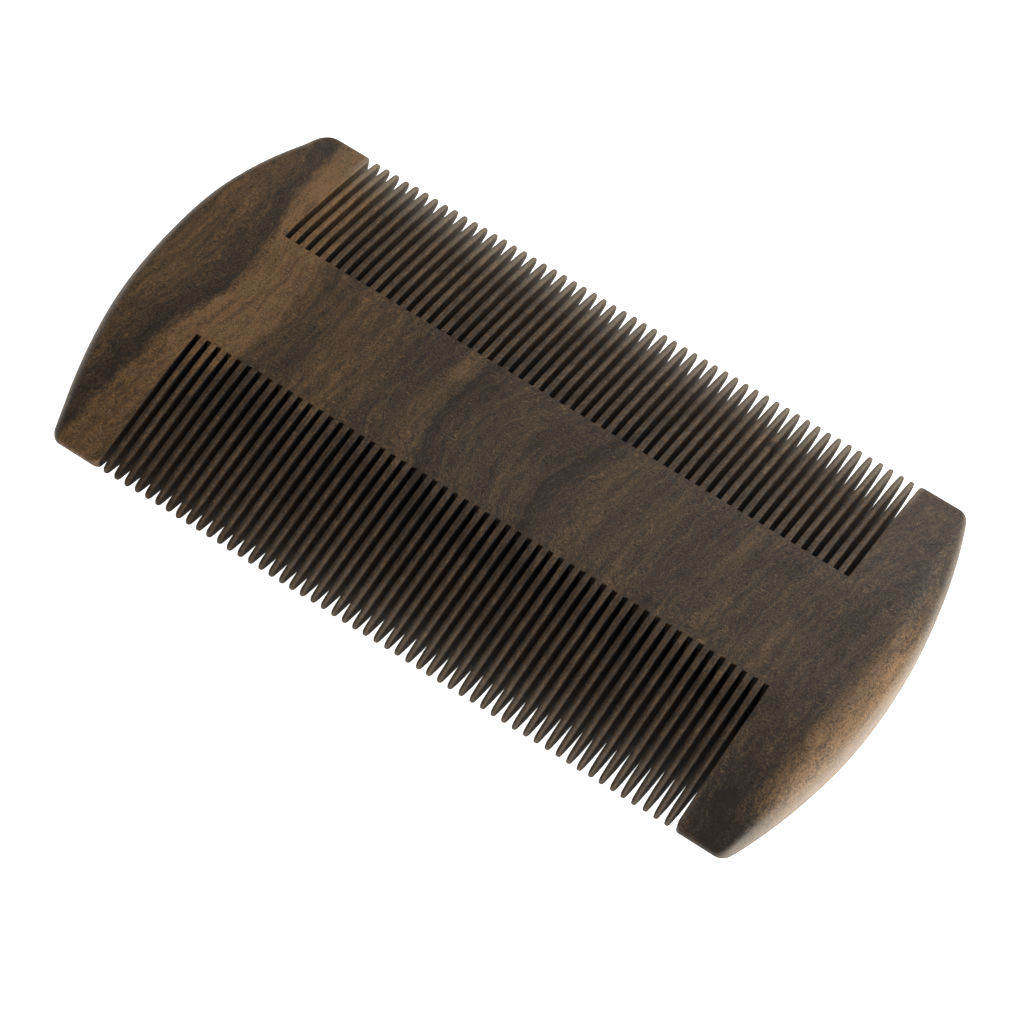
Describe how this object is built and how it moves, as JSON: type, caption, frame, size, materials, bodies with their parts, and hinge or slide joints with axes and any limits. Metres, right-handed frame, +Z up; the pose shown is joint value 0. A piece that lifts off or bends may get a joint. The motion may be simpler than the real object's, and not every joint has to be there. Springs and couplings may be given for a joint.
{
  "type": "beard comb",
  "caption": "Double-sided pocket beard comb in dark hardwood, with a row of fine tapered teeth along each long side and solid rounded ends.",
  "frame": {"origin": "middle of the flat face the comb rests on, under the centre of the spine", "axes": "+X along the comb towards the right guard, +Y across it towards the upper row's tooth tips, +Z up out of the resting face"},
  "size_m": [0.0996, 0.055, 0.01],
  "materials": {
    "wood": "oiled satin, very dark brown hardwood with darker streaks"
  },
  "bodies": {
    "root": {"spine": "wood", "left_guard": "wood", "right_guard": "wood", "upper_teeth": "wood", "lower_teeth": "wood"}
  },
  "joints": []
}
